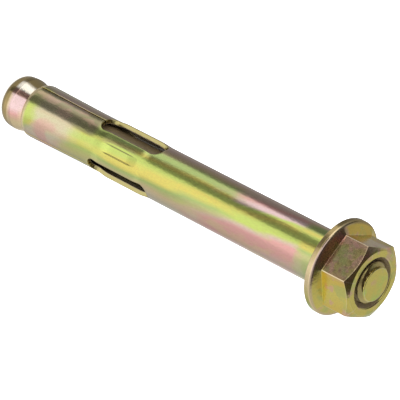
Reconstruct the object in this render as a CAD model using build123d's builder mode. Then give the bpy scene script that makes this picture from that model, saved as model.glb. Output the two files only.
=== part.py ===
from build123d import *
import os
from math import cos, pi, radians, tan

# Sleeve anchor with a hex flange nut, standing on its expander end, nut upwards.
# Units are millimetres and degrees. +Z runs along the axis from the expander to the nut,
# and the origin is the centre of the expander's flat end.

# Overall
reach = 80.0                  # expander end to the underside of the nut's flange
sleeve_diameter = 10.0        # also the size of the drilled hole
thread_diameter = 8.0
thread_pitch = 1.25

# Clearances
thread_play = 0.05            # radial, stud thread in the nut's bore
sleeve_play = 0.15            # radial, stud thread size to the sleeve's bore
cone_play = 0.03              # radial, sleeve's mouth on the cone
shoulder_gap = 0.7            # sleeve's free end above the expander's shoulder

# Expander stud
cap_diameter = 10.2
cap_height = 5.1
cap_end_round = 1.5
cap_shoulder = 2.7            # height over which the cap rounds in towards the cone
cone_length = 6.0
thread_length = 38.0
thread_runout = 0.5
tip_proud = 0.7               # stud tip beyond the nut's face
tip_chamfer = 0.85

# Split sleeve
mouth_diameter = 10.4         # free end, spread a little by the cone
mouth_taper = 14.0
mouth_round = 0.55            # radial, how far the free end's outer edge is drawn in
mouth_round_length = 1.3
window_count = 3
window_start = 17.3           # from the sleeve's free end
window_length = 14.9
window_width = 4.2
window_corner = 1.7
window_azimuth = 0.0          # middle of the first window
slit_width = 0.35
seam_width = 0.25
bulge_height = 0.18           # how proud the strips between the windows stand
bulge_start = -0.7            # from the window's lower end
bulge_length = 14.1
bulge_ramp = 1.2
channel_width = 2.0
channel_length = 9.6
channel_depth = 0.25

# Flange nut
across_flats = 13.0
nut_height = 8.0
nut_azimuth = 6.8             # direction of one hexagon corner
corner_round = 0.25
face_diameter = 12.4          # flat face inside the chamfer
face_chamfer_angle = 30.0
flange_diameter = 17.9
flange_edge = 1.3
flange_edge_round = 0.6
flange_edge_break = 0.25      # chamfer on the underside's edge
flange_cone_angle = 28.0
flange_land = 14.9            # diameter of the flat ring round the foot of the hexagon
mouth_countersink = 9.1
seat_countersink = 8.75
countersink_angle = 45.0

# Worked out from the sizes above
cap_radius = cap_diameter / 2
thread_radius = thread_diameter / 2 - thread_play
nut_bore_radius = thread_diameter / 2
sleeve_bore_radius = thread_diameter / 2 + sleeve_play
sleeve_wall = sleeve_diameter / 2 - sleeve_bore_radius
shank_radius = (thread_diameter - 0.65 * thread_pitch) / 2
stud_length = reach + nut_height + tip_proud
mouth_z = cap_height + shoulder_gap
mouth_bore_radius = mouth_diameter / 2 - sleeve_wall
cone_radius = mouth_bore_radius - cone_play
window_bottom = mouth_z + window_start
window_middle = window_bottom + window_length / 2
bulge_bottom = window_bottom + bulge_start
bulge_radius = sleeve_diameter / 2 + bulge_height
window_angles = [window_azimuth + k * 360 / window_count for k in range(window_count)]
half_pitch = 180 / window_count
strip_angles = [angle - half_pitch for angle in window_angles]
seam_angle = window_angles[1]
nut_top = reach + nut_height
hex_corner_radius = across_flats / 2 / cos(pi / 6)


def radial_plane(angle, radius, height):
    """Plane square to the axis' radius at an angle; its local x runs up the anchor."""
    return Plane.XY.rotated((0, 0, angle)) * Plane(
        origin=(radius, 0, height), x_dir=(0, 0, 1), z_dir=(1, 0, 0)
    )


def sleeve_outline(inset, start):
    """Radius and height points of the sleeve's surface above start, moved in by the inset."""
    plain = sleeve_diameter / 2 - inset
    mouth = mouth_diameter / 2 - inset
    bulge = bulge_radius - inset
    return [
        (mouth, start),
        (plain, mouth_z + mouth_taper),
        (plain, bulge_bottom),
        (bulge, bulge_bottom + bulge_ramp),
        (bulge, bulge_bottom + bulge_length - bulge_ramp),
        (plain, bulge_bottom + bulge_length),
        (plain, reach),
    ]


# Expander stud: rounded cap, shoulder, cone, shank and threaded end in one turned profile
with BuildPart() as expander_stud:
    with BuildSketch(Plane.XZ):
        with BuildLine():
            Line((0, 0), (cap_radius - cap_end_round, 0))
            TangentArc(
                (cap_radius - cap_end_round, 0), (cap_radius, cap_end_round), tangent=(1, 0)
            )
            Line((cap_radius, cap_end_round), (cap_radius, cap_height - cap_shoulder))
            TangentArc(
                (cap_radius, cap_height - cap_shoulder), (cone_radius, cap_height), tangent=(0, 1)
            )
            Polyline(
                (cone_radius, cap_height),
                (shank_radius, cap_height + cone_length),
                (shank_radius, stud_length - thread_length - thread_runout),
                (thread_radius, stud_length - thread_length),
                (thread_radius, stud_length - tip_chamfer),
                (thread_radius - tip_chamfer, stud_length),
                (0, stud_length),
                (0, 0),
            )
        make_face()
    revolve(axis=Axis.Z)

# Split sleeve: rolled strip with three windows, a slit from each to the free end, strips
# between them that stand proud with a pressed channel, and the closing seam
with BuildPart() as split_sleeve:
    mouth_rim = (mouth_diameter / 2 - mouth_round, mouth_z)
    with BuildSketch(Plane.XZ):
        with BuildLine():
            EllipticalCenterArc(
                (mouth_rim[0], mouth_z + mouth_round_length),
                mouth_round,
                mouth_round_length,
                start_angle=270,
                arc_size=90,
            )
            Polyline(
                *sleeve_outline(0, mouth_z + mouth_round_length),
                *reversed(sleeve_outline(sleeve_wall, mouth_z)),
                mouth_rim,
            )
        make_face()
    revolve(axis=Axis.Z)

    # The inner side of each pressed channel, standing into the bore
    for angle in strip_angles:
        with BuildSketch(radial_plane(angle, bulge_radius - sleeve_wall - channel_depth, window_middle)):
            SlotOverall(channel_length, channel_width)
        extrude(amount=sleeve_wall / 2 + channel_depth)

    # The outer side of each pressed channel
    for angle in strip_angles:
        with BuildSketch(radial_plane(angle, bulge_radius - channel_depth, window_middle)):
            SlotOverall(channel_length, channel_width)
        extrude(amount=sleeve_wall, mode=Mode.SUBTRACT)

    # Windows and the slits that run from them to the free end
    for angle in window_angles:
        with BuildSketch(radial_plane(angle, 0, window_middle)):
            RectangleRounded(window_length, window_width, window_corner)
        extrude(amount=sleeve_diameter, mode=Mode.SUBTRACT)
        with BuildSketch(radial_plane(angle, 0, window_middle / 2)):
            Rectangle(window_middle, slit_width)
        extrude(amount=sleeve_diameter, mode=Mode.SUBTRACT)

    # Closing seam from the second window to the nut end
    with BuildSketch(radial_plane(seam_angle, 0, (window_middle + reach) / 2)):
        Rectangle(reach - window_middle, seam_width)
    extrude(amount=sleeve_diameter, mode=Mode.SUBTRACT)

# Flange nut: hexagon cut back by the face chamfer, on a conical flange with a rounded rim
with BuildPart() as flange_nut:
    with BuildSketch(Plane.XY.offset(reach)):
        RegularPolygon(across_flats / 2, 6, major_radius=False, rotation=nut_azimuth)
    extrude(amount=nut_height)
    fillet(flange_nut.edges().filter_by(Axis.Z), radius=corner_round)
    chamfer_drop = (hex_corner_radius - face_diameter / 2) * tan(radians(face_chamfer_angle))
    with BuildSketch(Plane.XZ):
        with BuildLine():
            Polyline(
                (0, reach),
                (hex_corner_radius, reach),
                (hex_corner_radius, nut_top - chamfer_drop),
                (face_diameter / 2, nut_top),
                (0, nut_top),
                close=True,
            )
        make_face()
    revolve(axis=Axis.Z, mode=Mode.INTERSECT)

    cone_rise = (flange_diameter - flange_land) / 2 * tan(radians(flange_cone_angle))
    with BuildSketch(Plane.XZ) as flange_section:
        with BuildLine():
            Polyline(
                (0, reach),
                (flange_diameter / 2, reach),
                (flange_diameter / 2, reach + flange_edge),
                (flange_land / 2, reach + flange_edge + cone_rise),
                (0, reach + flange_edge + cone_rise),
                close=True,
            )
        make_face()
        rim_corners = flange_section.vertices().group_by(Axis.X)[-1].sort_by(Axis.Y)
        chamfer(rim_corners[0], length=flange_edge_break)
        fillet(rim_corners[-1], radius=flange_edge_round)
    revolve(axis=Axis.Z)

    # Threaded bore, drawn plain, with a countersink at each end
    with BuildSketch(Plane.XZ):
        seat_depth = (seat_countersink / 2 - nut_bore_radius) / tan(radians(countersink_angle))
        mouth_depth = (mouth_countersink / 2 - nut_bore_radius) / tan(radians(countersink_angle))
        with BuildLine():
            Polyline(
                (0, reach),
                (seat_countersink / 2, reach),
                (nut_bore_radius, reach + seat_depth),
                (nut_bore_radius, nut_top - mouth_depth),
                (mouth_countersink / 2, nut_top),
                (0, nut_top),
                close=True,
            )
        make_face()
    revolve(axis=Axis.Z, mode=Mode.SUBTRACT)

expander_stud.part.label = "expander_stud"
split_sleeve.part.label = "split_sleeve"
flange_nut.part.label = "flange_nut"

os.makedirs("parts", exist_ok=True)
export_step(expander_stud.part, "parts/expander_stud.step")
export_step(split_sleeve.part, "parts/split_sleeve.step")
export_step(flange_nut.part, "parts/flange_nut.step")
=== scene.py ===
"""Dresses a yellow zinc plated sleeve anchor: threaded stud, split sleeve, flange nut and stage."""

import math

import bpy
from bpy.props import FloatProperty, FloatVectorProperty, IntProperty, PointerProperty
from mathutils import Matrix, Vector, geometry


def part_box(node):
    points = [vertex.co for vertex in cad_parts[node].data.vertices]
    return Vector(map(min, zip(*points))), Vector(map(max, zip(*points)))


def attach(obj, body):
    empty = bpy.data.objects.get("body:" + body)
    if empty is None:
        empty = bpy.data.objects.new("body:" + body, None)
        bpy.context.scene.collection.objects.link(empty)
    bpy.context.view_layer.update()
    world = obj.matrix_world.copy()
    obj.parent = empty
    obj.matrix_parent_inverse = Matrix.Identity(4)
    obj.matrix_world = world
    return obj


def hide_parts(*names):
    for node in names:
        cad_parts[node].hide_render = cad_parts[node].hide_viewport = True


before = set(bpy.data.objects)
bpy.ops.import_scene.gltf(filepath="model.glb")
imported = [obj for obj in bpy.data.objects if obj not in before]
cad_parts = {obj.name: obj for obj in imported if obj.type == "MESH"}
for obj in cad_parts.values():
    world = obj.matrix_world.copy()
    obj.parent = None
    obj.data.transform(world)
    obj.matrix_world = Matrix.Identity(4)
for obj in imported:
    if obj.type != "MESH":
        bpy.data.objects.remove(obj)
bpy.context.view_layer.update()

bl_info = {
    "name": "Sleeve Anchor",
    "version": (1, 0, 0),
    "blender": (4, 5, 0),
    "location": "View3D > Sidebar > Anchor",
    "description": "Builds the finished stud, sleeve and nut of a sleeve anchor on its CAD frame",
    "category": "Object",
}

STUD_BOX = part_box("expander_stud")
SLEEVE_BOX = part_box("split_sleeve")
NUT_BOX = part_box("flange_nut")
MM = 0.001
FULL_TURN = 2 * math.pi


def length(name, description, default):
    """A property for a size in metres."""
    return FloatProperty(name=name, description=description, default=default, unit="LENGTH", precision=5)


def angle(name, description, default):
    """A property for an angle, with its default in degrees."""
    return FloatProperty(
        name=name, description=description, default=math.radians(default), subtype="ANGLE"
    )


def share(name, description, default):
    """A property for a number from 0 to 1."""
    return FloatProperty(
        name=name, description=description, default=default, min=0, max=1, subtype="FACTOR"
    )


def colour(name, description, default):
    """A property for a linear colour."""
    return FloatVectorProperty(
        name=name, description=description, default=default, subtype="COLOR", size=3, min=0, max=1
    )


class AnchorThread(bpy.types.PropertyGroup):
    """Sizes of the thread that the stud and the nut share"""

    pitch: length("Pitch", "Travel of the nut in one turn", 1.25 * MM)
    stud_root: length("Stud root", "Radius of the stud's thread roots", 3.2 * MM)
    stud_crest: length("Stud crest", "Radius of the stud's thread crests", 3.95 * MM)
    nut_crest: length("Nut crest", "Radius of the nut's thread crests", 3.33 * MM)
    nut_root: length("Nut root", "Radius of the nut's thread roots", 4.03 * MM)
    thread_length: length("Length", "Length of the stud's thread", 38 * MM)
    crest_share: share("Crest width", "Flat of a crest as a share of half the pitch", 0.22)


class AnchorStud(bpy.types.PropertyGroup):
    """Sizes of the expander stud"""

    height: length("Height", "Length from the cap's flat end to the tip", STUD_BOX[1][2])
    cap_radius: length("Cap radius", "Radius of the expander's cap", STUD_BOX[1][0])
    cap_height: length("Cap height", "Height of the cap up to its cone", 5.64 * MM)
    end_round: length("End rounding", "Radius of the cap's lower edge", 1.7 * MM)
    end_taper: length("End taper", "How far the cap narrows above that edge", 0.2 * MM)
    taper_height: length("Taper height", "Height where the end taper begins", 2.4 * MM)
    shoulder_start: length("Shoulder start", "Height where the cap starts to round in", 3.1 * MM)
    shoulder_round: length("Shoulder rounding", "Radius of the shoulder's curve", 1.2 * MM)
    shoulder_slope: angle("Shoulder slope", "Lean of the shoulder below the sleeve", 14)
    cone_radius: length("Cone radius", "Radius where the cone starts", 4.25 * MM)
    cone_length: length("Cone length", "Length of the cone", 6 * MM)
    shank_radius: length("Shank radius", "Radius of the plain shank", 3.594 * MM)
    neck_round: length("Neck rounding", "Rounding of the cap's upper edge", 0.05 * MM)
    thread_runout: length("Thread run-out", "Length over which the shank widens", 0.5 * MM)
    tip_chamfer: length("Tip chamfer", "Chamfer at the threaded tip", 0.85 * MM)
    tip_round: length("Tip rounding", "Rounding of the chamfer's upper edge", 0.14 * MM)


class AnchorSleeve(bpy.types.PropertyGroup):
    """Sizes of the split sleeve"""

    radius: length("Radius", "Outer radius of the plain sleeve", 5 * MM)
    wall: length("Wall", "Thickness of the rolled strip", 0.85 * MM)
    low: length("Free end", "Height of the free end", SLEEVE_BOX[0][2])
    high: length("Nut end", "Height of the end under the nut", SLEEVE_BOX[1][2])
    mouth_radius: length("Mouth radius", "Outer radius of the spread free end", 5.2 * MM)
    mouth_taper: length("Mouth taper", "Length over which the free end spreads", 14 * MM)
    mouth_round: length("Mouth rounding", "How far the free end's edge is drawn in", 0.55 * MM)
    mouth_round_length: length("Mouth rounding length", "Length of that rounding", 1.3 * MM)
    window_start: length("Window start", "From the free end to the windows", 17.3 * MM)
    window_length: length("Window length", "Length of each window", 14.9 * MM)
    window_width: length("Window width", "Width of each window", 4.2 * MM)
    window_corner: length("Window corner", "Corner radius of each window", 1.7 * MM)
    windows: IntProperty(name="Windows", description="Windows round the sleeve", default=3, min=1)
    seam_angle: angle("Seam", "Direction of the closing seam", 120)
    slit_width: length("Slit", "Width of the slits to the free end", 0.3 * MM)
    seam_width: length("Seam width", "Width of the closing seam", 0.25 * MM)
    bulge_middle: length("Bulge middle", "How proud the strips stand in their middle", 0.07 * MM)
    bulge_edge: length("Bulge edge", "How much prouder they stand along the windows", 0.2 * MM)
    bulge_start: length("Bulge start", "From the free end to the bulge", 18.1 * MM)
    bulge_length: length("Bulge length", "Length of the bulge", 13.5 * MM)
    bulge_ramp: length("Bulge ramp", "Length of the bulge's ramps", 2.7 * MM)
    channel_length: length("Channel length", "Length of the pressed channels", 9.6 * MM)
    channel_width: length("Channel width", "Width of the pressed channels", 2.0 * MM)
    channel_shift: length("Channel shift", "Distance of the channels from the strips' middle", 0.2 * MM)
    channel_depth: length("Channel depth", "Depth of the pressed channels", 0.22 * MM)
    channel_slope: length("Channel side", "Width of a channel's sloped side", 0.3 * MM)
    channel_fade: length("Channel fade", "Length over which a channel's ends run out", 3 * MM)
    edge_round: length("Edge rounding", "Rounding of the windows' edges", 0.15 * MM)
    slit_round: length("Slit rounding", "Rounding of the slits' edges", 0.1 * MM)


class AnchorNut(bpy.types.PropertyGroup):
    """Sizes of the flange nut"""

    low: length("Bearing height", "Height of the flange's underside", NUT_BOX[0][2])
    high: length("Top height", "Height of the nut's face", NUT_BOX[1][2])
    across_flats: length("Across flats", "Width of the hexagon", 13 * MM)
    corner_azimuth: angle("Corner azimuth", "Direction of one hexagon corner", 6.8)
    corner_round: length("Corner rounding", "Radius of the hexagon's upright edges", 0.24 * MM)
    face_radius: length("Face radius", "Radius of the flat face", 6 * MM)
    face_chamfer: angle("Face chamfer", "Slope of the face's chamfer", 30)
    flange_radius: length("Flange radius", "Outer radius of the flange", NUT_BOX[1][0])
    flange_edge: length("Flange edge", "Height of the flange's edge", 1.3 * MM)
    flange_round: length("Flange rounding", "Rounding of the flange's upper edge", 0.5 * MM)
    flange_break: length("Flange break", "Rounding of the flange's lower edge", 0.2 * MM)
    hexagon_foot: length("Hexagon's foot", "Height of the hexagon's foot above the seat", 2.1 * MM)
    root_fillet: length("Root fillet", "Fillet between hexagon and flange", 0.07 * MM)
    edge_round: length("Edge rounding", "Rounding of the other edges", 0.14 * MM)
    mouth: length("Countersink", "Radius of the countersink at the face", 4.9 * MM)
    mouth_round: length("Countersink rounding", "Rounding of its edge", 0.12 * MM)
    seat: length("Seat", "Radius of the countersink at the underside", 4.375 * MM)


class AnchorFinish(bpy.types.PropertyGroup):
    """Colours of the yellow passivated zinc"""

    gold: colour("Gold", "Main yellow of the film", (0.84, 0.72, 0.18))
    amber: colour("Amber", "Deep yellow of the nut", (0.84, 0.62, 0.14))
    lime: colour("Lime", "Yellow-green film", (0.66, 0.78, 0.20))
    moss: colour("Moss", "Greenest film", (0.50, 0.62, 0.22))
    olive: colour("Olive", "Deeper yellow film", (0.64, 0.60, 0.17))
    beige: colour("Beige", "Film between yellow and pink", (0.80, 0.64, 0.37))
    rose: colour("Rose", "Pink film", (0.88, 0.47, 0.43))
    blush: colour("Blush", "Pale pink film", (0.95, 0.69, 0.68))
    mauve: colour("Mauve", "Greyish pink film", (0.80, 0.59, 0.49))
    copper: colour("Copper", "Brown film on one side of the nut", (0.86, 0.54, 0.37))
    bronze: colour("Bronze", "Brown and olive film on the rims", (0.50, 0.38, 0.17))
    # This dark film is partly the dull film of the scratched stretch and partly painted shade over the
    # bands mirrored there and on the strips.
    umber: colour("Umber", "Dull film on scratched stretches", (0.40, 0.36, 0.21))
    honey: colour("Honey", "Film round the sleeve's mouth", (0.95, 0.76, 0.45))
    # Painted highlight: nearly white film laid on the cap where it mirrors a bright panel.
    painted_highlight: colour("Cream", "Nearly white film", (1.0, 0.93, 0.80))
    pale: colour("Pale", "Nearly bare film", (0.80, 0.73, 0.55))
    rubbed: colour("Rubbed edge", "Film on the nut's rubbed edges", (0.95, 0.82, 0.58))
    sheared: colour("Sheared edge", "Film on the sleeve's cut edges", (0.60, 0.52, 0.22))
    # Painted shade: a dark reddish film laid on the cap where it mirrors a dark panel.
    painted_dark_band: colour("Russet", "Film on the cap where its mirrored edge is dark", (0.47, 0.27, 0.22))
    # Painted shade: this dark colour is laid over the film inside bores, windows and the sleeve, on the
    # shank, on the channels' sides and along the mirrored dark band's edges; the nut's dark specks reuse it
    # as their own colour.
    shade: colour("Recess", "Film inside bores and windows", (0.13, 0.09, 0.045))
    roughness: share("Roughness", "Roughness of the plated surface", 0.16)


class AnchorStage(bpy.types.PropertyGroup):
    """Camera and background"""

    azimuth: angle("Camera azimuth", "Direction from the anchor to the camera", -69.2)
    lens: FloatProperty(name="Lens", description="Focal length for a 36 mm sensor", default=306, min=1)
    floor_size: length("Floor size", "Width of the floor", 40)


# Camera fitted to the object: its place in metres, and its right and up directions.
CAMERA_PLACE = (0.17575, -0.45986, 0.39891)
CAMERA_RIGHT = (-0.61473, 0.31757, 0.7220)
CAMERA_UP = (-0.73386, -0.5657, -0.3760)

# Soft light from above, and the floor that it falls on.
LAMP_STRENGTH = 0.7
LAMP_SPREAD = math.radians(60)
LAMP_TURN = (math.radians(20), math.radians(15), 0)
FLOOR_COLOUR = (0.9, 0.9, 0.9, 1)
FLOOR_GLOW = 0.8

# Fineness of the meshes.
ROWS_PER_PITCH = 14
CORNER_ROWS = 3               # rows that a rounded corner has beyond its steps
STUD_SECTORS = 96
STUD_CORNER_STEPS = 8
NUT_CORNER_STEPS = 6
BLANK_COLUMNS = 112
BLANK_STEP = 0.3 * MM         # along edges and on the bulge
BLANK_COARSE_STEP = 0.55 * MM
COARSE_STEP = 2 * MM
RIM_PARTS = (0, 0.13, 0.5, 1)
CHANNEL_PARTS = (0, 0.2, 0.5, 0.8, 1)
SHARP_ANGLE = math.radians(38)
EDGE_LEAD = 0.3               # plain row beside a rounded corner, as a share of its rounding
OVERSHOOT = 2 * MM            # how far slits and seam are drawn past the blank's ends
WALL_PARTS = (0.82, 0.94)     # where a cut edge turns dark, as parts of the sleeve's wall
MOUTH_ROWS = 8
RIM_CLEARANCE = 1.5           # roundings that the blank's grid keeps away from openings
SIDE_CLEARANCE = (-1.4, 0.4)  # slopes that it keeps away inside and outside of a channel's edge
NUT_CORNER_PARTS = (0, 0.4, 0.75, 1)
NUT_FLAT_DEGREES = (3.2, 6.5, 11, 16, 21, 25.5)
NUT_FLAT_LEAD = 0.006         # radians from a corner's end to the first row on the flat

# Wear, and painted shade where light hardly reaches, from 0 to 1, which the meshes carry for their
# materials.
WORN_EDGES = 0.4              # the nut's edges round the axis
WORN_CORNERS = 0.8            # the hexagon's upright corners
BORE_PAINTED_SHADE = 0.95            # inside the nut
SLEEVE_INSIDE_PAINTED_SHADE = 0.85           # inside the sleeve
SHANK_PAINTED_SHADE = 0.88
SHANK_PAINTED_SHADE_CHANGE = 0.09    # more on one side of the shank and less on the other
CHANNEL_PAINTED_SHADE = (0.3, 0.8)   # the lit and the shaded side of a channel

# Bands of film as (position round the axis, colour), where 0.5 faces the camera.
SLEEVE_YELLOW = (
    (0.02, "lime"), (0.09, "gold"), (0.17, "beige"), (0.25, "pale"), (0.29, "mauve"), (0.335, "mauve"),
    (0.37, "beige"), (0.395, "moss"), (0.43, "moss"), (0.455, "gold"), (0.475, "lime"), (0.50, "lime"),
    (0.523, "gold"), (0.548, "gold"), (0.57, "moss"), (0.61, "beige"), (0.68, "pale"), (0.76, "pale"),
    (0.82, "lime"), (0.90, "gold"), (0.97, "moss"),
)
SLEEVE_PINK = (
    (0.02, "gold"), (0.09, "beige"), (0.17, "rose"), (0.25, "blush"), (0.29, "mauve"), (0.335, "mauve"),
    (0.365, "rose"), (0.395, "blush"), (0.41, "blush"), (0.43, "lime"), (0.455, "gold"), (0.485, "lime"),
    (0.52, "lime"), (0.545, "mauve"), (0.565, "rose"), (0.63, "rose"), (0.68, "mauve"), (0.76, "mauve"),
    (0.82, "lime"), (0.90, "gold"), (0.96, "rose"),
)
NUT_SIDES = (
    (0, "gold"), (0.12, "gold"), (0.20, "amber"), (0.25, "amber"), (0.27, "honey"), (0.36, "honey"),
    (0.385, "copper"), (0.53, "copper"), (0.56, "amber"), (0.64, "gold"), (0.72, "amber"),
    (0.78, "beige"), (0.9, "lime"), (1, "gold"),
)
NUT_CONE = (
    (0, "gold"), (0.2, "amber"), (0.36, "amber"), (0.375, "copper"), (0.53, "copper"), (0.56, "gold"),
    (1, "gold"),
)
RIM_TOP = (
    (0.12, "honey"), (0.17, "bronze"), (0.33, "bronze"), (0.37, "honey"), (0.42, "honey"),
    (0.46, "mauve"), (0.55, "mauve"), (0.60, "beige"), (1, "beige"),
)
RIM_SIDE = (
    (0.12, "olive"), (0.17, "bronze"), (0.48, "bronze"), (0.54, "beige"), (0.60, "beige"),
    (0.66, "olive"), (0.72, "moss"), (1, "olive"),
)
# On the cap, the nearly white band is a painted highlight where the cap mirrors a bright panel, and the
# dark reddish band next to it is painted shade where it mirrors a dark one.
CAP_BANDS = (
    (0.02, "gold"), (0.12, "lime"), (0.22, "bronze"), (0.365, "bronze"), (0.39, "painted_highlight"),
    (0.435, "painted_highlight"), (0.446, "painted_dark_band"), (0.473, "painted_dark_band"), (0.484, "blush"), (0.565, "blush"),
    (0.60, "rose"), (0.65, "beige"), (0.74, "beige"), (0.85, "rose"), (0.95, "gold"),
)

# What the metal mirrors, as (position round the axis, brightness) stops: first the low surroundings,
# then the panels laid over them in turn, each with the heights of a direction between which it fades in.
STUDIO_BASE = (
    (0, 0.28), (0.03, 0.28), (0.10, 0.30), (0.16, 0.22), (0.225, 0.19), (0.255, 0.24), (0.285, 0.92),
    (0.35, 0.92), (0.374, 0.32), (0.395, 0.22), (0.445, 0.24), (0.475, 0.88), (0.52, 1), (0.59, 0.98),
    (0.68, 0.68), (0.78, 0.55), (0.86, 0.44), (0.92, 0.42), (0.96, 0.45), (1, 0.28),
)
STUDIO_PANELS = (
    (-0.60, -0.555, (
        (0, 0.22), (0.03, 0.22), (0.10, 0.30), (0.16, 0.22), (0.225, 0.19), (0.255, 0.24), (0.285, 0.92),
        (0.335, 0.9), (0.363, 0.3), (0.385, 0.22), (0.445, 0.24), (0.475, 0.85), (0.52, 1), (0.59, 0.98),
        (0.68, 0.68), (0.77, 0.62), (0.86, 0.5), (0.92, 0.68), (0.96, 0.8), (1, 0.22),
    )),
    (-0.655, -0.69, (
        (0, 0.4), (0.3, 0.42), (0.36, 0.5), (0.385, 0.16), (0.44, 0.14), (0.462, 0.7), (0.56, 0.8),
        (0.63, 0.95), (0.75, 0.7), (1, 0.4),
    )),
    (-0.80, -0.90, (
        (0, 0.5), (0.3, 0.42), (0.42, 0.34), (0.48, 0.45), (0.55, 0.6), (0.7, 0.6), (1, 0.5),
    )),
    (-0.50, -0.40, (
        (0, 0.4), (0.16, 0.33), (0.268, 0.33), (0.31, 1.2), (0.6, 1.2), (0.75, 0.7), (1, 0.5),
    )),
    (-0.28, -0.22, (
        (0, 0.5), (0.14, 0.36), (0.24, 0.28), (0.275, 0.38), (0.32, 1.1), (0.372, 1.1), (0.386, 0.1),
        (0.447, 0.1), (0.463, 0.92), (0.52, 0.96), (0.60, 0.98), (0.66, 0.85), (0.70, 0.75), (0.77, 0.7),
        (1, 0.5),
    )),
    (0.2, 0.45, (
        (0, 0.5), (0.10, 0.4), (0.16, 0.07), (0.31, 0.07), (0.36, 0.75), (0.48, 0.75), (0.56, 0.3),
        (0.7, 0.5), (0.85, 0.55), (1, 0.5),
    )),
)
ZENITH = (0.055, 0.043, 0.04)
ZENITH_HEIGHTS = (0.80, 0.89)


class Nodes:
    """Adds nodes to a tree, whose patterns follow a place with the parts x, y and z."""

    def __init__(self, tree):
        tree.nodes.clear()
        self.tree = tree

    def read_place(self, kind, output):
        """Takes the place from an output of a new node."""
        self.place = self.add(kind).outputs[output]
        self.x, self.y, self.z = self.add("ShaderNodeSeparateXYZ", {0: self.place}).outputs

    def add(self, kind, inputs=(), **settings):
        """A node with its settings, whose inputs are set to values or linked to sockets."""
        node = self.tree.nodes.new(kind)
        for name, value in settings.items():
            setattr(node, name, value)
        for key, value in dict(inputs).items():
            if isinstance(value, bpy.types.NodeSocket):
                self.tree.links.new(value, node.inputs[key])
            else:
                node.inputs[key].default_value = value
        return node

    def maths(self, operation, *values):
        """The result of a Math node."""
        return self.add("ShaderNodeMath", enumerate(values), operation=operation).outputs[0]

    def product(self, first, *others):
        """The product of numbers."""
        for value in others:
            first = self.maths("MULTIPLY", first, value)
        return first

    def smooth_step(self, value, low, high):
        """0 below low, 1 above high, with a smooth change between them."""
        limits = {"Value": value, "From Min": low, "From Max": high}
        return self.add("ShaderNodeMapRange", limits, interpolation_type="SMOOTHSTEP").outputs[0]

    def above(self, height, low, high):
        """A smooth step between two heights in millimetres."""
        return self.smooth_step(height, low * MM, high * MM)

    def rescale(self, value, low, high):
        """A number from 0 to 1 spread between low and high."""
        return self.add("ShaderNodeMapRange", {"Value": value, "To Min": low, "To Max": high}).outputs[0]

    def ramp(self, factor, stops, interpolation="LINEAR"):
        """The colour of a ramp with (position, colour) stops."""
        node = self.add("ShaderNodeValToRGB", {"Fac": factor})
        band = node.color_ramp
        band.interpolation = interpolation
        for index, (position, tint) in enumerate(stops):
            stop = band.elements[index] if index < 2 else band.elements.new(position)
            stop.position = position
            stop.color = (*tint, 1)
        return node.outputs["Color"]

    def bands(self, turn, finish, stops):
        """The film with (position round the axis, name of a colour) stops."""
        return self.ramp(turn, [(position, getattr(finish, name)) for position, name in stops])

    def greys(self, factor, stops, interpolation="LINEAR"):
        """A number that follows (position, number) stops."""
        return self.ramp(factor, [(position, (number,) * 3) for position, number in stops], interpolation)

    def along(self, height, *stops):
        """A number that follows (height in millimetres, number) stops, blended smoothly."""
        top = stops[-1][0]
        shares = [(at / top, number) for at, number in stops]
        return self.greys(self.maths("DIVIDE", height, top * MM), shares, "EASE")

    def mix(self, factor, first, second):
        """A blend of two colours."""
        inputs = {0: factor}
        for key, tint in ((6, first), (7, second)):
            inputs[key] = tint if isinstance(tint, bpy.types.NodeSocket) else (*tint, 1)
        return self.add("ShaderNodeMix", inputs, data_type="RGBA").outputs[2]

    def over(self, film, tint, *amounts):
        """The film with a tint laid over it by the product of the amounts."""
        return self.mix(self.product(*amounts), film, tint)

    def clouds(self, scale, stretch, shift, detail=2.0, distortion=0.0):
        """Soft noise on the object, stretched along the axis."""
        inputs = {"Vector": self.place, "Location": (shift, -shift, shift), "Scale": (1, 1, 1 / stretch)}
        inputs = {
            "Vector": self.add("ShaderNodeMapping", inputs).outputs[0],
            "Scale": scale, "Detail": detail, "Roughness": 0.5, "Distortion": distortion,
        }
        return self.add("ShaderNodeTexNoise", inputs).outputs[0]

    def spots(self, low, high, scale, stretch, shift, detail=2):
        """Spots with soft edges, where the clouds rise from low to high."""
        return self.smooth_step(self.clouds(scale, stretch, shift, detail), low, high)

    def stirred(self, value, noise, most):
        """A number moved up or down by noise, by most at the most."""
        return self.maths("ADD", value, self.rescale(noise, -most, most))

    def around_axis(self, facing):
        """Position round the axis from 0 to 1, where 0.5 is the facing direction."""
        inputs = {"Vector": self.place, "Rotation": (0, 0, -facing)}
        turned = self.add("ShaderNodeMapping", inputs).outputs[0]
        x, y, _ = self.add("ShaderNodeSeparateXYZ", {0: turned}).outputs
        return self.maths("MULTIPLY_ADD", self.maths("ARCTAN2", y, x), 1 / FULL_TURN, 0.5)

    def leaning(self, turn, lean, middle):
        """Position round the axis that leans with height, by lean per metre about a middle height."""
        return self.maths("ADD", turn, self.product(self.maths("SUBTRACT", self.z, middle), lean))

    def sooner(self, height, turn, start, rise, most=1.0):
        """The height raised by rise for each turn past a start, by most at the most."""
        past = self.maths("MAXIMUM", self.maths("SUBTRACT", turn, start), 0.0)
        return self.maths("ADD", height, self.maths("MINIMUM", self.product(past, rise), most))


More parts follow.
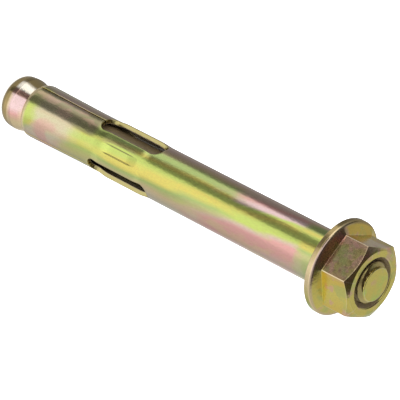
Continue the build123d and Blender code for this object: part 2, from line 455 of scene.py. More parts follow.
def sleeve_film(tree, finish, facing):
    """Bands of film colour that wind slowly round the sleeve and turn pinker towards the nut."""
    height, straight = tree.z, tree.around_axis(facing)
    turn = tree.stirred(straight, tree.clouds(150, 2.5, 0.4, distortion=0.4), 0.04)
    wavy = tree.stirred(height, tree.clouds(300, 1, 2.9), 2 * MM)
    seen = tree.smooth_step(straight, 0.31, 0.37)

    # Yellow bands below and pink ones above, which start lower on the right than on the left.
    further = tree.sooner(wavy, straight, 0.555, 180 * MM, 9 * MM)
    right_pink = tree.along(further, (50, 0), (57, 0.35), (62, 0.8), (67, 1), (100, 1))
    left_pink = tree.along(
        height, (50, 0), (55, 0.15), (59, 0.7), (66, 1), (71, 0.8), (75, 0.2), (100, 0.1)
    )
    pinkness = tree.mix(tree.smooth_step(straight, 0.44, 0.48), left_pink, right_pink)
    pinkness = tree.product(pinkness, tree.along(wavy, (72, 1), (76.5, 0), (100, 0)))
    pinkness = tree.stirred(pinkness, tree.clouds(260, 2.2, 1.7, 3, 0.3), 0.55)
    film = tree.mix(
        tree.smooth_step(pinkness, 0.05, 0.9),
        tree.bands(tree.leaning(turn, 1.5, 42 * MM), finish, SLEEVE_YELLOW),
        tree.bands(tree.leaning(turn, 3.5, 66 * MM), finish, SLEEVE_PINK),
    )

    # Patches of beige, lime and pink over the bands.
    tan = tree.product(tree.spots(0.45, 0.62, 380, 1.8, 8.3), tree.smooth_step(straight, 0.58, 0.63))
    film = tree.over(film, finish.beige, tan, tree.along(height, (44, 0), (50, 0.7), (62, 0.5), (80, 0.4)))
    streak = tree.greys(straight, [(0.47, 0), (0.49, 0.25), (0.54, 0.25), (0.57, 0)])
    film = tree.over(film, finish.lime, tree.spots(0.45, 0.65, 700, 2, 9.7, 3), streak)
    green = tree.along(
        tree.sooner(height, straight, 0.54, 30 * MM),
        (0, 0.85), (8.7, 0.85), (10.8, 0), (18, 0), (20, 0.4), (25, 0.45), (31, 0),
    )
    film = tree.over(film, finish.lime, green, seen)
    bloom = tree.along(
        tree.sooner(wavy, straight, 0.58, 50 * MM), (8, 0), (10.5, 0.65), (16, 0.7), (21.5, 0), (80, 0)
    )
    film = tree.over(film, tree.mix(0.4, finish.pale, finish.blush), bloom, seen)
    blotch = tree.along(height, (8.5, 0), (10.5, 0.65), (14, 0.6), (18, 0.1), (20, 0), (80, 0))
    spots = tree.spots(0.42, 0.6, 300, 1.4, 2.2)
    film = tree.over(film, finish.rose, blotch, tree.smooth_step(straight, 0.50, 0.56), spots)

    # Dull, scratched stretches on the left with painted shade over what they mirror, greener film under the
    # nut and honey at the mouth.
    # A dull, scratched stretch near the free end, whose darker film also dims what it mirrors there: partly
    # scratches, partly painted shade.
    scratches_and_shade = tree.along(height, (6, 0.7), (8, 0.85), (22.7, 0.95), (24.4, 0), (80, 0))
    dimmed = tree.greys(turn, [(0.36, 0), (0.385, 1), (0.42, 1), (0.47, 0.85), (0.492, 0)])
    umber = tree.over(finish.umber, finish.rose, tree.spots(0.5, 0.62, 500, 2.5, 6.1, 3), 0.35)
    film = tree.over(film, umber, dimmed, scratches_and_shade)
    # Painted shade along both edges of the mirrored dark band on that stretch.
    band_edge_shade = tree.greys(turn, [(0.41, 0), (0.43, 0.45), (0.45, 0.1), (0.468, 0.1), (0.482, 0.4), (0.494, 0)])
    film = tree.over(film, finish.shade, band_edge_shade, scratches_and_shade)
    # Painted shade on the strips between the windows, where they mirror the dark band.
    strip = tree.along(height, (25, 0), (27, 0.65), (33, 0.65), (35, 0), (80, 0))
    dimmed = tree.greys(turn, [(0.45, 0), (0.465, 0.8), (0.485, 0.8), (0.493, 0)])
    film = tree.over(film, finish.umber, dimmed, strip)
    under_nut = tree.above(wavy, 73, 77.5)
    film = tree.over(film, finish.moss, under_nut, tree.smooth_step(straight, 0.53, 0.57), 0.8)
    return tree.over(film, finish.honey, tree.above(height, 7.2, 6.4))


def nut_film(tree, finish, facing):
    """Amber film with pink and green spots, browner on one side, and pale on the flange's rim."""
    turn = tree.stirred(tree.around_axis(facing), tree.clouds(300, 1, 0.2), 0.025)
    up = tree.maths("SUBTRACT", tree.z, NUT_BOX[0][2])
    face = NUT_BOX[1][2] - NUT_BOX[0][2]
    cone, sides = tree.bands(turn, finish, NUT_CONE), tree.bands(turn, finish, NUT_SIDES)
    film = tree.over(cone, sides, tree.above(up, 2.0, 2.2))
    film = tree.over(film, finish.gold, tree.smooth_step(up, face - 0.25 * MM, face - 0.05 * MM))
    brown = tree.greys(turn, [(0.38, 0), (0.40, 1), (0.52, 1), (0.545, 0)])
    brown = tree.product(brown, tree.above(up, 2.2, 3.0))
    film = tree.over(film, finish.olive, tree.spots(0.42, 0.58, 700, 1, 3.1, 4), brown, 0.65)
    film = tree.over(film, finish.shade, tree.spots(0.52, 0.62, 1700, 1, 5.9, 3), brown, 0.3)
    film = tree.over(film, finish.moss, tree.spots(0.50, 0.62, 330, 1, 3.1, 3), 0.5)
    film = tree.over(film, finish.rose, tree.spots(0.54, 0.66, 420, 1, 5.3, 3), 0.55)
    rim_top, rim_side = tree.bands(turn, finish, RIM_TOP), tree.bands(turn, finish, RIM_SIDE)
    film = tree.over(film, rim_top, tree.above(up, 1.55, 1.4))
    return tree.over(film, rim_side, tree.above(up, 1.1, 0.98))


def stud_film(tree, finish, facing):
    """Pink and cream film on the cap, and yellow-green film on the threaded end."""
    height = tree.z
    turn = tree.stirred(tree.around_axis(facing), tree.clouds(260, 1, 0.9), 0.014)
    tip = tree.over(finish.gold, finish.lime, tree.spots(0.42, 0.62, 330, 1, 2.3))
    tip = tree.over(tip, finish.rose, tree.spots(0.55, 0.68, 260, 1, 7.9), 0.6)
    top = STUD_BOX[1][2]
    # Below its very top the threaded end turns mostly bronze: painted shade where it stands in the nut's
    # countersink.
    tip = tree.over(tip, finish.bronze, tree.smooth_step(height, top - 0.05 * MM, top - 0.25 * MM), 0.8)
    warm = tree.product(tree.above(height, 3.2, 2.3), tree.smooth_step(turn, 0.47, 0.50), 0.8)
    foot = tree.over(tree.bands(turn, finish, CAP_BANDS), finish.honey, warm)
    foot = tree.over(foot, finish.bronze, tree.above(height, 2.55, 2.05))
    neck = tree.product(tree.above(height, 4.4, 5.6), 0.6, tree.smooth_step(turn, 0.53, 0.60))
    foot = tree.over(foot, finish.honey, neck)
    return tree.over(foot, tip, tree.above(height, 30, 40))


def zinc(name, film_of, scene, edge):
    """Passivated zinc with a coloured film, an edge colour where it is rubbed, and painted shade in
    recesses, where it is also less metallic and rougher.

    film_of(tree, finish, facing) gives the film's colour."""
    finish = scene.anchor_finish
    material = bpy.data.materials.new(name)
    material.use_nodes = True
    tree = Nodes(material.node_tree)
    tree.read_place("ShaderNodeTexCoord", "Object")
    worn, painted_shade = (
        tree.add("ShaderNodeAttribute", attribute_name=label).outputs["Fac"] for label in ("worn", "painted_shade")
    )
    film = film_of(tree, finish, scene.anchor_stage.azimuth)
    film = tree.over(film, edge, worn)
    # Painted shade: the film turns to the dark shade colour where the mesh is hidden from light.
    film = tree.over(film, finish.shade, painted_shade)
    grain = tree.clouds(2400, 2.5, 0.9)
    speckle = tree.spots(0.35, 0.6, 3600, 1.6, 4.1)
    film = tree.over(film, finish.bronze, tree.rescale(speckle, 0.12, 0.0))
    gloss = tree.rescale(grain, finish.roughness - 0.05, finish.roughness + 0.08)
    bump = tree.add("ShaderNodeBump", {"Height": grain, "Strength": 1.0, "Distance": 0.018 * MM})
    surface = {
        "Base Color": film,
        "Metallic": tree.rescale(painted_shade, 1.0, 0.3),
        "Roughness": tree.maths("MULTIPLY_ADD", painted_shade, 0.2, gloss),
        "Normal": bump.outputs[0],
    }
    shader = tree.add("ShaderNodeBsdfPrincipled", surface).outputs[0]
    tree.add("ShaderNodeOutputMaterial", {"Surface": shader})
    return material


def rounded(points, steps):
    """Points of a profile whose corners, given as (radius, height, rounding), are rounded.

    Each point found is (radius, height, worn), where worn is 1 on a rounded corner."""
    path = []
    for index, point in enumerate(points):
        corner = Vector(point[:2])
        rounding = point[2] if len(point) > 2 else 0
        if not rounding:
            path.append((*corner, 0.0))
            continue
        before = (Vector(points[index - 1][:2]) - corner).normalized()
        after = (Vector(points[(index + 1) % len(points)][:2]) - corner).normalized()
        half = before.angle(after) / 2
        reach = rounding / math.tan(half)
        centre = corner + (before + after).normalized() * (rounding / math.sin(half))
        first, last = corner + before * reach - centre, corner + after * reach - centre
        sweep = math.atan2(first.cross(last), first.dot(last))
        path.append((*(centre + first + before * rounding * EDGE_LEAD), 0.0))
        for step in range(steps + 1):
            spot = centre + Matrix.Rotation(sweep * step / steps, 2) @ first
            path.append((*spot, math.sin(math.pi * step / steps)))
        path.append((*(centre + last + after * rounding * EDGE_LEAD), 0.0))
    return path


def subdivided(path, wanted, step):
    """The path with extra points every step on the stretches for which wanted(first, second) holds."""
    dense = [path[0]]
    for first, second in zip(path, path[1:]):
        span = math.dist(first[:2], second[:2])
        count = max(1, math.ceil(span / step)) if wanted(first, second) else 1
        for part in range(1, count + 1):
            dense.append(tuple(a + (b - a) * part / count for a, b in zip(first, second)))
    return dense


def turned_mesh(name, columns, closed):
    """A mesh of profiles (radius, height, worn, recess) standing at given directions round the axis.

    A closed profile makes a ring, and an open one starts and ends on the axis."""
    vertices, faces, worn, painted_shade = [], [], [], []
    rows = len(columns[0][1])
    for direction, profile in columns:
        for radius, height, rubbed, hidden in profile if closed else profile[1:-1]:
            vertices.append((radius * math.cos(direction), radius * math.sin(direction), height))
            worn.append(rubbed)
            painted_shade.append(hidden)
    size = rows if closed else rows - 2
    for number in range(len(columns)):
        here, there = number * size, (number + 1) % len(columns) * size
        for row in range(size if closed else size - 1):
            after = (row + 1) % size
            faces.append((here + row, there + row, there + after, here + after))
    if not closed:
        bottom, top = len(vertices), len(vertices) + 1
        vertices += [(0, 0, columns[0][1][0][1]), (0, 0, columns[0][1][-1][1])]
        worn += [0.0, 0.0]
        painted_shade += [0.0, 0.0]
        for number in range(len(columns)):
            here, there = number * size, (number + 1) % len(columns) * size
            faces.append((bottom, there, here))
            faces.append((top, here + size - 1, there + size - 1))
    return plain_mesh(name, vertices, faces, worn, painted_shade)


def plain_mesh(name, vertices, faces, worn, painted_shade):
    """A smooth mesh that carries where it is rubbed and where painted shade goes because it is hidden from
    light.
    """
    mesh = bpy.data.meshes.new(name)
    mesh.from_pydata(vertices, [], faces)
    mesh.polygons.foreach_set("use_smooth", [True] * len(faces))
    for label, values in (("worn", worn), ("painted_shade", painted_shade)):
        mesh.attributes.new(label, "FLOAT", "POINT").data.foreach_set("value", values)
    mesh.update()
    return mesh


def new_tree(name, inputs):
    """A geometry tree with named number inputs and a material input, and the sockets it is given."""
    group = bpy.data.node_groups.new(name, "GeometryNodeTree")
    kinds = {"Geometry": "Geometry", **{label: "Float" for label in inputs}, "Material": "Material"}
    for label, kind in kinds.items():
        group.interface.new_socket(label, in_out="INPUT", socket_type="NodeSocket" + kind)
    group.interface.new_socket("Geometry", in_out="OUTPUT", socket_type="NodeSocketGeometry")
    tree = Nodes(group)
    tree.read_place("GeometryNodeInputPosition", "Position")
    return tree, tree.add("NodeGroupInput").outputs


def end_tree(tree, given, x, y):
    """Moves the points to x and y, and gives the result its material."""
    position = tree.add("ShaderNodeCombineXYZ", {"X": x, "Y": y, "Z": tree.z}).outputs[0]
    inputs = {"Geometry": given["Geometry"], "Position": position}
    placed = tree.add("GeometryNodeSetPosition", inputs).outputs[0]
    real = tree.add("GeometryNodeRealizeInstances", {0: placed}).outputs[0]
    inputs = {"Geometry": real, "Material": given["Material"]}
    tree.add("NodeGroupOutput", {0: tree.add("GeometryNodeSetMaterial", inputs).outputs[0]})
    return tree.tree


def thread_tree():
    """Cuts a right-hand helical thread into the dense rows of a turned mesh.

    It cuts inwards where Internal is 0 and outwards where it is 1."""
    tree, given = new_tree(
        "helical_thread", ("Pitch", "Valley Radius", "Ridge Radius", "Start", "Crest Share", "Internal")
    )
    start, ridge_radius = given["Start"], given["Ridge Radius"]
    turn = tree.maths("DIVIDE", tree.maths("ARCTAN2", tree.y, tree.x), FULL_TURN)
    phase = tree.maths("SUBTRACT", tree.maths("DIVIDE", tree.z, given["Pitch"]), turn)
    phase = tree.maths("MULTIPLY_ADD", tree.maths("FRACT", phase), 2.0, -1.0)
    ridge = tree.maths("SUBTRACT", 1.0, tree.maths("ABSOLUTE", phase))
    far = tree.maths("SUBTRACT", 1.0, given["Crest Share"])
    limits = {"Value": ridge, "From Min": given["Crest Share"], "From Max": far}
    ridge = tree.add("ShaderNodeMapRange", limits).outputs[0]
    runout = tree.smooth_step(tree.z, start, tree.maths("ADD", start, given["Pitch"]))
    depth = tree.maths("SUBTRACT", given["Valley Radius"], ridge_radius)
    cut = tree.product(tree.maths("SUBTRACT", 1.0, ridge), runout)
    cut_radius = tree.maths("MULTIPLY_ADD", depth, cut, ridge_radius)
    flat = tree.add("ShaderNodeCombineXYZ", {"X": tree.x, "Y": tree.y}).outputs[0]
    radius = tree.add("ShaderNodeVectorMath", {0: flat}, operation="LENGTH").outputs["Value"]
    inner = tree.maths("MINIMUM", radius, cut_radius)
    step = tree.maths("SUBTRACT", tree.maths("MAXIMUM", radius, cut_radius), inner)
    found = tree.maths("MULTIPLY_ADD", step, given["Internal"], inner)
    above = tree.maths("GREATER_THAN", tree.z, start)
    found = tree.maths("MULTIPLY_ADD", tree.maths("SUBTRACT", found, radius), above, radius)
    factor = tree.maths("DIVIDE", found, tree.maths("MAXIMUM", radius, 1e-9))
    return end_tree(tree, given, tree.product(tree.x, factor), tree.product(tree.y, factor))


def roll_tree():
    """Rolls a flat blank, whose outer side faces -Y, round the axis."""
    tree, given = new_tree("rolled_blank", ("Radius", "Start Angle"))
    turn = tree.maths("ADD", tree.maths("DIVIDE", tree.x, given["Radius"]), given["Start Angle"])
    reach = tree.maths("SUBTRACT", given["Radius"], tree.y)
    across = tree.product(tree.maths("COSINE", turn), reach)
    return end_tree(tree, given, across, tree.product(tree.maths("SINE", turn), reach))


def finished_piece(mesh, group, values, body, node):
    """Runs the node tree on the mesh with its named inputs, and sets the plain result on its body."""
    item = bpy.data.objects.new(mesh.name, mesh)
    bpy.context.scene.collection.objects.link(item)
    modifier = item.modifiers.new(group.name, "NODES")
    modifier.node_group = group
    for socket in group.interface.items_tree:
        if socket.in_out == "INPUT" and socket.name in values:
            modifier[socket.identifier] = values[socket.name]
    view = bpy.context.evaluated_depsgraph_get()
    made = bpy.data.meshes.new_from_object(item.evaluated_get(view), depsgraph=view)
    item.modifiers.remove(modifier)
    item.data = made
    made.set_sharp_from_angle(angle=SHARP_ANGLE)
    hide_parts(node)
    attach(item, body)


def eased(part):
    """A part from 0 to 1 with a smooth start and end."""
    part = min(max(part, 0), 1)
    return part * part * (3 - 2 * part)


def arc_drop(part):
    """How far a quarter circle of radius 1 has dropped at a part from 0 to 1 along it."""
    return 1 - math.sqrt(max(0, 1 - part * part))


def gap_to(point, opening):
    """Distance from a point of the blank to an opening's edge, negative inside it."""
    (middle_x, middle_y), (half_x, half_y), corner = opening
    away_x = abs(point[0] - middle_x) - half_x + corner
    away_y = abs(point[1] - middle_y) - half_y + corner
    return math.hypot(max(away_x, 0), max(away_y, 0)) + min(max(away_x, away_y), 0) - corner


def loop_round(opening, offset, step):
    """Points round an opening's edge, moved out by an offset."""
    (middle_x, middle_y), (half_x, half_y), corner = opening
    half_x, half_y, corner = half_x + offset, half_y + offset, corner + offset
    points = []
    for quarter, (east, north) in enumerate(((1, 1), (-1, 1), (-1, -1), (1, -1))):
        pivot = Vector((middle_x + east * (half_x - corner), middle_y + north * (half_y - corner)))
        turns = max(2, round(corner * math.pi / 2 / step))
        for part in range(turns + 1):
            turn = math.pi / 2 * (quarter + part / turns)
            points.append(pivot + corner * Vector((math.cos(turn), math.sin(turn))))
            if corner < 1e-6:
                break
    dense = []
    for first, second in zip(points, points[1:] + points[:1]):
        count = max(1, round((second - first).length / step))
        dense += [first.lerp(second, part / count) for part in range(count)]
    return dense


class ANCHOR_OT_stage(bpy.types.Operator):
    """Set the camera, the soft light, the pale floor and the studio that the metal mirrors"""

    bl_idname = "anchor.stage"
    bl_label = "Stage"

    def execute(self, context):
        scene, size = context.scene, context.scene.anchor_stage
        scene.view_settings.view_transform = "Standard"

        camera = bpy.data.cameras.new("camera")
        camera.lens = size.lens
        camera.sensor_width = 36
        camera.clip_end = 100
        seen_from = bpy.data.objects.new("camera", camera)
        right = Vector(CAMERA_RIGHT).normalized()
        back = right.cross(Vector(CAMERA_UP)).normalized()
        turned = Matrix((right, back.cross(right), back)).transposed()
        seen_from.matrix_world = Matrix.Translation(CAMERA_PLACE) @ turned.to_4x4()
        scene.collection.objects.link(seen_from)
        scene.camera = seen_from

        lamp = bpy.data.lights.new("soft_light", "SUN")
        lamp.energy = LAMP_STRENGTH
        lamp.angle = LAMP_SPREAD
        source = bpy.data.objects.new("soft_light", lamp)
        source.rotation_euler = LAMP_TURN
        source.visible_glossy = False
        scene.collection.objects.link(source)

        half = size.floor_size / 2
        mesh = bpy.data.meshes.new("floor")
        corners = [(-half, -half, 0), (half, -half, 0), (half, half, 0), (-half, half, 0)]
        mesh.from_pydata(corners, [], [(0, 1, 2, 3)])
        mesh.materials.append(self.floor_material())
        floor = bpy.data.objects.new("floor", mesh)
        scene.collection.objects.link(floor)
        scene.world = self.studio(size.azimuth)
        return {"FINISHED"}

    def floor_material(self):
        """Pale floor that keeps a faint shadow and lets the metal mirror the studio."""
        material = bpy.data.materials.new("pale_floor")
        material.use_nodes = True
        tree = Nodes(material.node_tree)
        ray = tree.add("ShaderNodeLightPath").outputs
        seen = tree.maths("MAXIMUM", ray["Is Camera Ray"], ray["Is Transmission Ray"])
        matt = tree.add("ShaderNodeBsdfDiffuse", {"Color": FLOOR_COLOUR}).outputs[0]
        inputs = {"Color": (1, 1, 1, 1), "Strength": tree.product(seen, FLOOR_GLOW)}
        glow = tree.add("ShaderNodeEmission", inputs).outputs[0]
        lit = tree.add("ShaderNodeAddShader", {0: matt, 1: glow}).outputs[0]
        clear = tree.add("ShaderNodeBsdfTransparent").outputs[0]
        shader = tree.add("ShaderNodeMixShader", {0: ray["Is Glossy Ray"], 1: lit, 2: clear}).outputs[0]
        tree.add("ShaderNodeOutputMaterial", {"Surface": shader})
        return material

    def studio(self, facing):
        """White surroundings, with dark and bright panels in them for the metal to mirror."""
        world = bpy.data.worlds.new("studio")
        world.use_nodes = True
        tree = Nodes(world.node_tree)
        tree.read_place("ShaderNodeTexCoord", "Generated")
        turn = tree.around_axis(facing)
        mirrored = tree.greys(turn, STUDIO_BASE, "EASE")
        for start, full, stops in STUDIO_PANELS:
            panel = tree.greys(turn, stops, "EASE")
            mirrored = tree.over(mirrored, panel, tree.smooth_step(tree.z, start, full))
        mirrored = tree.over(mirrored, ZENITH, tree.smooth_step(tree.z, *ZENITH_HEIGHTS))
        glossy = tree.add("ShaderNodeLightPath").outputs["Is Glossy Ray"]
        inputs = {"Color": tree.over((1, 1, 1), mirrored, glossy), "Strength": 1.0}
        background = tree.add("ShaderNodeBackground", inputs).outputs[0]
        tree.add("ShaderNodeOutputWorld", {"Surface": background})
        return world


class ANCHOR_OT_stud(bpy.types.Operator):
    """Turn the expander stud and cut its thread"""

    bl_idname = "anchor.stud"
    bl_label = "Expander Stud"

    def outline(self, size, thread, thread_start):
        """Profile of the stud from the middle of its flat end to the middle of its tip."""
        shoulder = []
        for step in range(STUD_CORNER_STEPS + 1):
            lean = size.shoulder_slope * step / STUD_CORNER_STEPS
            out = size.cap_radius - size.shoulder_round * (1 - math.cos(lean))
            shoulder.append((out, size.shoulder_start + size.shoulder_round * math.sin(lean)))
        out, up = shoulder[-1]
        neck = out - (size.cap_height - up) * math.tan(size.shoulder_slope)
        points = [
            (0, 0),
            (size.cap_radius - size.end_taper, 0, size.end_round),
            (size.cap_radius, size.taper_height),
            *shoulder,
            (neck, size.cap_height, size.neck_round),
            (size.cone_radius, size.cap_height),
            (size.shank_radius, size.cap_height + size.cone_length),
            (size.shank_radius, thread_start - size.thread_runout),
            (thread.stud_crest, thread_start),
            (thread.stud_crest, size.height - size.tip_chamfer),
            (thread.stud_crest - size.tip_chamfer, size.height, size.tip_round),
            (0, size.height),
        ]

        def threaded(a, b):
            return min(a[1], b[1]) > thread_start - 1e-6

        def plain(a, b):
            return a[1] == b[1] or b[1] < thread_start

        path = subdivided(rounded(points, STUD_CORNER_STEPS), threaded, thread.pitch / ROWS_PER_PITCH)
        return subdivided(path, plain, COARSE_STEP)

    def execute(self, context):
        scene = context.scene
        size, thread, sleeve = scene.anchor_stud, scene.anchor_thread, scene.anchor_sleeve
        thread_start = size.height - thread.thread_length
        path = self.outline(size, thread, thread_start)
        # The stud lies in the dark from just inside the sleeve's free end to just under the nut's face, so
        # painted shade is laid on it there, heavier on one side than the other.
        covered, open_above = sleeve.low + 0.6 * MM, scene.anchor_nut.high - 0.2 * MM
        columns = []
        for number in range(STUD_SECTORS):
            direction = FULL_TURN * number / STUD_SECTORS
            hidden = SHANK_PAINTED_SHADE + SHANK_PAINTED_SHADE_CHANGE * math.sin(scene.anchor_stage.azimuth - direction)
            profile = [
                (radius, height, rubbed * (height > covered), hidden * (covered < height < open_above))
                for radius, height, rubbed in path
            ]
            columns.append((direction, profile))
        mesh = turned_mesh("expander_stud_turned", columns, False)
        values = {
            "Pitch": thread.pitch, "Valley Radius": thread.stud_root, "Ridge Radius": thread.stud_crest,
            "Start": thread_start, "Crest Share": thread.crest_share, "Internal": 0.0,
            "Material": zinc("stud_zinc", stud_film, scene, scene.anchor_finish.rubbed),
        }
        finished_piece(mesh, thread_tree(), values, "stud", "expander_stud")
        return {"FINISHED"}


class ANCHOR_OT_sleeve(bpy.types.Operator):
    """Cut, press and roll the split sleeve from a flat blank"""

    bl_idname = "anchor.sleeve"
    bl_label = "Split Sleeve"

    def pitch(self, size):
        """Distance between the middles of two windows on the flat blank."""
        return FULL_TURN * size.radius / size.windows

    def window_middle(self, size):
        """Height of the windows' middles."""
        return size.low + size.window_start + size.window_length / 2

    def openings(self, size):
        """Windows, slits and seam of the flat blank as (middle, half size, corner radius)."""
        pitch, window = self.pitch(size), self.window_middle(size)
        window_half = (size.window_width / 2, size.window_length / 2)
        below, above = size.low - OVERSHOOT, size.high + OVERSHOOT
        found = []
        for number in range(size.windows + 1):
            middle = number * pitch
            found.append(((middle, window), window_half, size.window_corner))
            found.append(((middle, (below + window) / 2), (size.slit_width / 2, (window - below) / 2), 0))
        for middle in (0, size.windows * pitch):
            found.append(((middle, (above + window) / 2), (size.seam_width / 2, (above - window) / 2), 0))
        return found

    def channels(self, size):
        """Pressed channels of the flat blank as (middle, half size, corner radius)."""
        pitch, middle = self.pitch(size), self.window_middle(size)
        half = (size.channel_width / 2, size.channel_length / 2)
        across = pitch / 2 - size.channel_shift
        return [((number * pitch + across, middle), half, half[0]) for number in range(size.windows)]

    def rim_of(self, size, opening):
        """Rounding of an opening's edges."""
        return size.edge_round if opening[2] else size.slit_round

    def stand(self, size, across, height, rounded_end):
        """How far the blank stands out from its plain radius at a point."""
        up = height - size.low
        out = (size.mouth_radius - size.radius) * max(0, 1 - up / size.mouth_taper)
        if rounded_end and up < size.mouth_round_length:
            out -= size.mouth_round * arc_drop(1 - max(up, 0) / size.mouth_round_length)
        ramped = min(up - size.bulge_start, size.bulge_start + size.bulge_length - up) / size.bulge_ramp
        pitch = self.pitch(size)
        half = (pitch - size.window_width) / 2
        off_middle = abs(across % pitch - pitch / 2)
        bowed = min(off_middle / half, max(0, (pitch / 2 - off_middle) / (pitch / 2 - half))) ** 2
        return out + (size.bulge_middle + size.bulge_edge * bowed) * eased(ramped)

    def flat_blank(self, size, openings, channels):
        """Points and triangles of the flat blank, with fine rows along every edge."""
        width, rim, slope = FULL_TURN * size.radius, size.edge_round, size.channel_slope
        points, edges = [], []
        loops = [(hole, self.rim_of(size, hole) * part) for hole in openings for part in RIM_PARTS]
        loops += [(channel, -slope * part) for channel in channels for part in CHANNEL_PARTS]
        for shape, offset in loops:
            loop = loop_round(shape, offset, BLANK_STEP)
            first = len(points)
            points += loop
            edges += [(first + i, first + (i + 1) % len(loop)) for i in range(len(loop))]
        for height in (size.low, size.high):
            points += [Vector((-MM, height)), Vector((width + MM, height))]
            edges.append((len(points) - 2, len(points) - 1))

        mouth = size.mouth_round_length
        turns = [math.pi / 2 * row / MOUTH_ROWS for row in range(1, MOUTH_ROWS)]
        rows = [size.low + mouth * (1 - math.cos(turn)) for turn in turns]
        height = size.low + mouth
        while height < size.high - RIM_CLEARANCE * rim:
            rows.append(height)
            near = size.bulge_start - MM < height - size.low < size.bulge_start + size.bulge_length + MM
            height += BLANK_STEP if near else BLANK_COARSE_STEP
        rows += [size.high - rim * part for part in RIM_PARTS[1:]]
        for height in rows:
            for number in range(BLANK_COLUMNS):
                spot = (width * (number + 0.5) / BLANK_COLUMNS, height)
                clear = min(gap_to(spot, opening) for opening in openings) > RIM_CLEARANCE * rim
                side = min(gap_to(spot, channel) for channel in channels) / slope
                if clear and not SIDE_CLEARANCE[0] < side < SIDE_CLEARANCE[1]:
                    points.append(Vector(spot))
        spots, _, triangles, *_ = geometry.delaunay_2d_cdt(points, edges, [], 0, 1e-7)
        kept = []
        for triangle in triangles:
            middle = [sum(spots[i][axis] for i in triangle) / 3 for axis in (0, 1)]
            if size.low < middle[1] < size.high and 0 < middle[0] < width:
                if min(gap_to(middle, opening) for opening in openings) > 0:
                    kept.append(tuple(triangle))
        used = sorted({index for triangle in kept for index in triangle})
        number_of = {index: number for number, index in enumerate(used)}
        return [spots[i] for i in used], [tuple(number_of[i] for i in triangle) for triangle in kept]

    def execute(self, context):
        size = context.scene.anchor_sleeve
        openings, channels = self.openings(size), self.channels(size)
        spots, triangles = self.flat_blank(size, openings, channels)
        rim, slope = size.edge_round, size.channel_slope

        # The blank's outer side, with its edges rounded, and its inner side, both with the channels.
        (_, middle), (_, half_length), _ = channels[0]
        outer, inner, worn, painted_shade = [], [], [], []
        for across, height in spots:
            edges = [(gap_to((across, height), hole), self.rim_of(size, hole)) for hole in openings]
            edge, rounding = min(edges + [(size.high - height, rim)], key=lambda found: found[0] / found[1])
            part = 1 - min(max(edge, 0) / rounding, 1)
            channel = min(channels, key=lambda shape: gap_to((across, height), shape))
            side = min(max(-gap_to((across, height), channel) / slope, 0), 1)
            ends = eased((half_length - abs(height - middle)) / size.channel_fade)
            pressed = size.channel_depth * eased(side) * ends
            turned_in = rounding * arc_drop(part) + pressed
            outer.append((across, turned_in - self.stand(size, across, height, True), height))
            inner.append((across, size.wall + pressed - self.stand(size, across, height, False), height))
            worn.append(math.sin(math.pi / 2 * part) * rounding / rim)
            # Painted shade on a channel's sloped sides, heavier on its shaded side and fading towards its
            # ends.
            shaded = CHANNEL_PAINTED_SHADE[across < channel[0][0]]
            painted_shade.append(shaded * math.sin(math.pi * side) * ends)
        count = len(spots)
        vertices = outer + inner
        # The inner side is rubbed nowhere and carries painted shade all over.
        worn += [0.0] * count
        painted_shade += [SLEEVE_INSIDE_PAINTED_SHADE] * count
        faces = list(triangles) + [(c + count, b + count, a + count) for a, b, c in triangles]

        # A wall along the border, where a triangle's edge has no neighbour.
        ways = {}
        for triangle in triangles:
            for first, second in zip(triangle, triangle[1:] + triangle[:1]):
                ways[first, second] = (second, first) not in ways
                if not ways[first, second]:
                    ways[second, first] = False
        halfway = {}
        for first, second in (way for way, single in ways.items() if single):
            for index in (first, second):
                if index not in halfway:
                    start, end = Vector(outer[index]), Vector(inner[index])
                    halfway[index] = len(vertices)
                    # The wall's outer part takes the sheared edge colour and its inner part painted shade.
                    vertices += [tuple(start.lerp(end, part)) for part in WALL_PARTS]
                    worn += [1.0, 0.0]
                    painted_shade += [0.0, SLEEVE_INSIDE_PAINTED_SHADE]
            a, b = halfway[first], halfway[second]
            faces.append((second, first, a, b))
            faces.append((b, a, a + 1, b + 1))
            faces.append((b + 1, a + 1, first + count, second + count))
        mesh = plain_mesh("split_sleeve_rolled", vertices, faces, worn, painted_shade)
        edge = context.scene.anchor_finish.sheared
        material = zinc("sleeve_zinc", sleeve_film, context.scene, edge)
        values = {"Radius": size.radius, "Start Angle": size.seam_angle, "Material": material}
        finished_piece(mesh, roll_tree(), values, "sleeve", "split_sleeve")
        return {"FINISHED"}


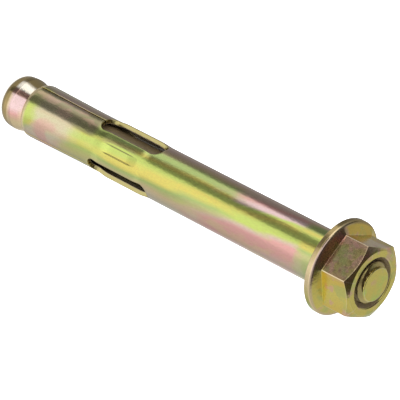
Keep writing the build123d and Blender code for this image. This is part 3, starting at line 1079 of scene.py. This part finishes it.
class ANCHOR_OT_nut(bpy.types.Operator):
    """Forge the flange nut and cut its thread"""

    bl_idname = "anchor.nut"
    bl_label = "Flange Nut"

    def directions(self, size):
        """Directions of the profiles as (direction, hexagon's radius, corner share)."""
        flat = size.across_flats / 2
        pivot = (flat - size.corner_round) / math.cos(math.pi / 6)
        end = math.atan2(size.corner_round / 2, pivot + size.corner_round * math.cos(math.pi / 6))
        half = [part * end for part in NUT_CORNER_PARTS] + [end + NUT_FLAT_LEAD]
        half += [math.radians(degrees) for degrees in NUT_FLAT_DEGREES]
        offsets = sorted({-offset for offset in half} | set(half) | {math.pi / 6})
        found = []
        for corner in range(6):
            for offset in offsets:
                if abs(offset) < end:
                    bulk = size.corner_round**2 - (pivot * math.sin(offset)) ** 2
                    radius = pivot * math.cos(offset) + math.sqrt(bulk)
                    mark = math.cos(math.pi / 2 * abs(offset) / end)
                else:
                    radius, mark = flat / math.cos(math.pi / 6 - abs(offset)), 0.0
                found.append((size.corner_azimuth + corner * math.pi / 3 + offset, radius, mark))
        return found

    def profile(self, size, thread, wall, mark):
        """Closed profile at one direction, from the seat outwards, up, over the face and down the bore."""
        bore = thread.nut_crest
        points = [
            (size.seat, size.low),
            (size.flange_radius, size.low, size.flange_break),
            (size.flange_radius, size.low + size.flange_edge, size.flange_round),
            (wall, size.low + size.hexagon_foot, size.root_fillet),
            (wall, size.high - (wall - size.face_radius) * math.tan(size.face_chamfer), size.edge_round),
            (size.face_radius, size.high, size.edge_round),
            (size.mouth, size.high, size.mouth_round),
            (bore, size.high - (size.mouth - bore)),
            (bore, size.low + (size.seat - bore)),
        ]

        def threaded(a, b):
            return max(a[0], b[0]) < size.mouth and a[1] > b[1]

        # Rows that start the rim's corner, the foot's fillet and the chamfer's lower and upper edge.
        path = rounded(points, NUT_CORNER_STEPS)
        corner = NUT_CORNER_STEPS + CORNER_ROWS
        face_row = len(path) - 2 - corner
        rim_row, fillet_row, chamfer_row = (1 + number * corner for number in (1, 2, 3))
        path = subdivided(path + path[:1], threaded, thread.pitch / ROWS_PER_PITCH)[:-1]
        result = []
        for row, (radius, height, rubbed) in enumerate(path):
            hexagon = fillet_row + corner // 2 < row < face_row
            rubbed *= 0.0 if rim_row <= row < chamfer_row else WORN_EDGES
            # Painted shade inside the bore and the countersink.
            inside = radius < size.mouth - 0.15 * MM and height < size.high - 0.05 * MM
            worn = max(rubbed, WORN_CORNERS * mark * hexagon)
            result.append((radius, height, worn, BORE_PAINTED_SHADE * inside))
        return result

    def execute(self, context):
        scene = context.scene
        size, thread = scene.anchor_nut, scene.anchor_thread
        columns = [
            (direction, self.profile(size, thread, wall, mark))
            for direction, wall, mark in self.directions(size)
        ]
        if len({len(profile) for _, profile in columns}) > 1:
            raise RuntimeError("the nut's profiles differ in their number of points")
        mesh = turned_mesh("flange_nut_forged", columns, True)
        values = {
            "Pitch": thread.pitch, "Valley Radius": thread.nut_crest, "Ridge Radius": thread.nut_root,
            "Start": size.low - thread.pitch, "Crest Share": thread.crest_share, "Internal": 1.0,
            "Material": zinc("nut_zinc", nut_film, scene, scene.anchor_finish.rubbed),
        }
        finished_piece(mesh, thread_tree(), values, "nut", "flange_nut")
        return {"FINISHED"}


OPERATORS = (ANCHOR_OT_stage, ANCHOR_OT_stud, ANCHOR_OT_sleeve, ANCHOR_OT_nut)
GROUPS = {
    "anchor_stage": AnchorStage,
    "anchor_thread": AnchorThread,
    "anchor_stud": AnchorStud,
    "anchor_sleeve": AnchorSleeve,
    "anchor_nut": AnchorNut,
    "anchor_finish": AnchorFinish,
}


class ANCHOR_PT_panel(bpy.types.Panel):
    """Sizes, colours and steps of the sleeve anchor"""

    bl_label = "Sleeve Anchor"
    bl_idname = "ANCHOR_PT_panel"
    bl_space_type = "VIEW_3D"
    bl_region_type = "UI"
    bl_category = "Anchor"

    def draw(self, context):
        for operator in OPERATORS:
            self.layout.operator(operator.bl_idname)
        for name, group in GROUPS.items():
            box = self.layout.box()
            box.label(text=name.removeprefix("anchor_").capitalize())
            for entry in group.__annotations__:
                box.prop(getattr(context.scene, name), entry)


CLASSES = (*GROUPS.values(), *OPERATORS, ANCHOR_PT_panel)


def register():
    for item in CLASSES:
        bpy.utils.register_class(item)
    for name, group in GROUPS.items():
        setattr(bpy.types.Scene, name, PointerProperty(type=group))


def unregister():
    for name in GROUPS:
        delattr(bpy.types.Scene, name)
    for item in reversed(CLASSES):
        bpy.utils.unregister_class(item)


def main():
    register()
    bpy.ops.anchor.stage()
    bpy.ops.anchor.stud()
    bpy.ops.anchor.sleeve()
    bpy.ops.anchor.nut()


if __name__ == "__main__":
    main()
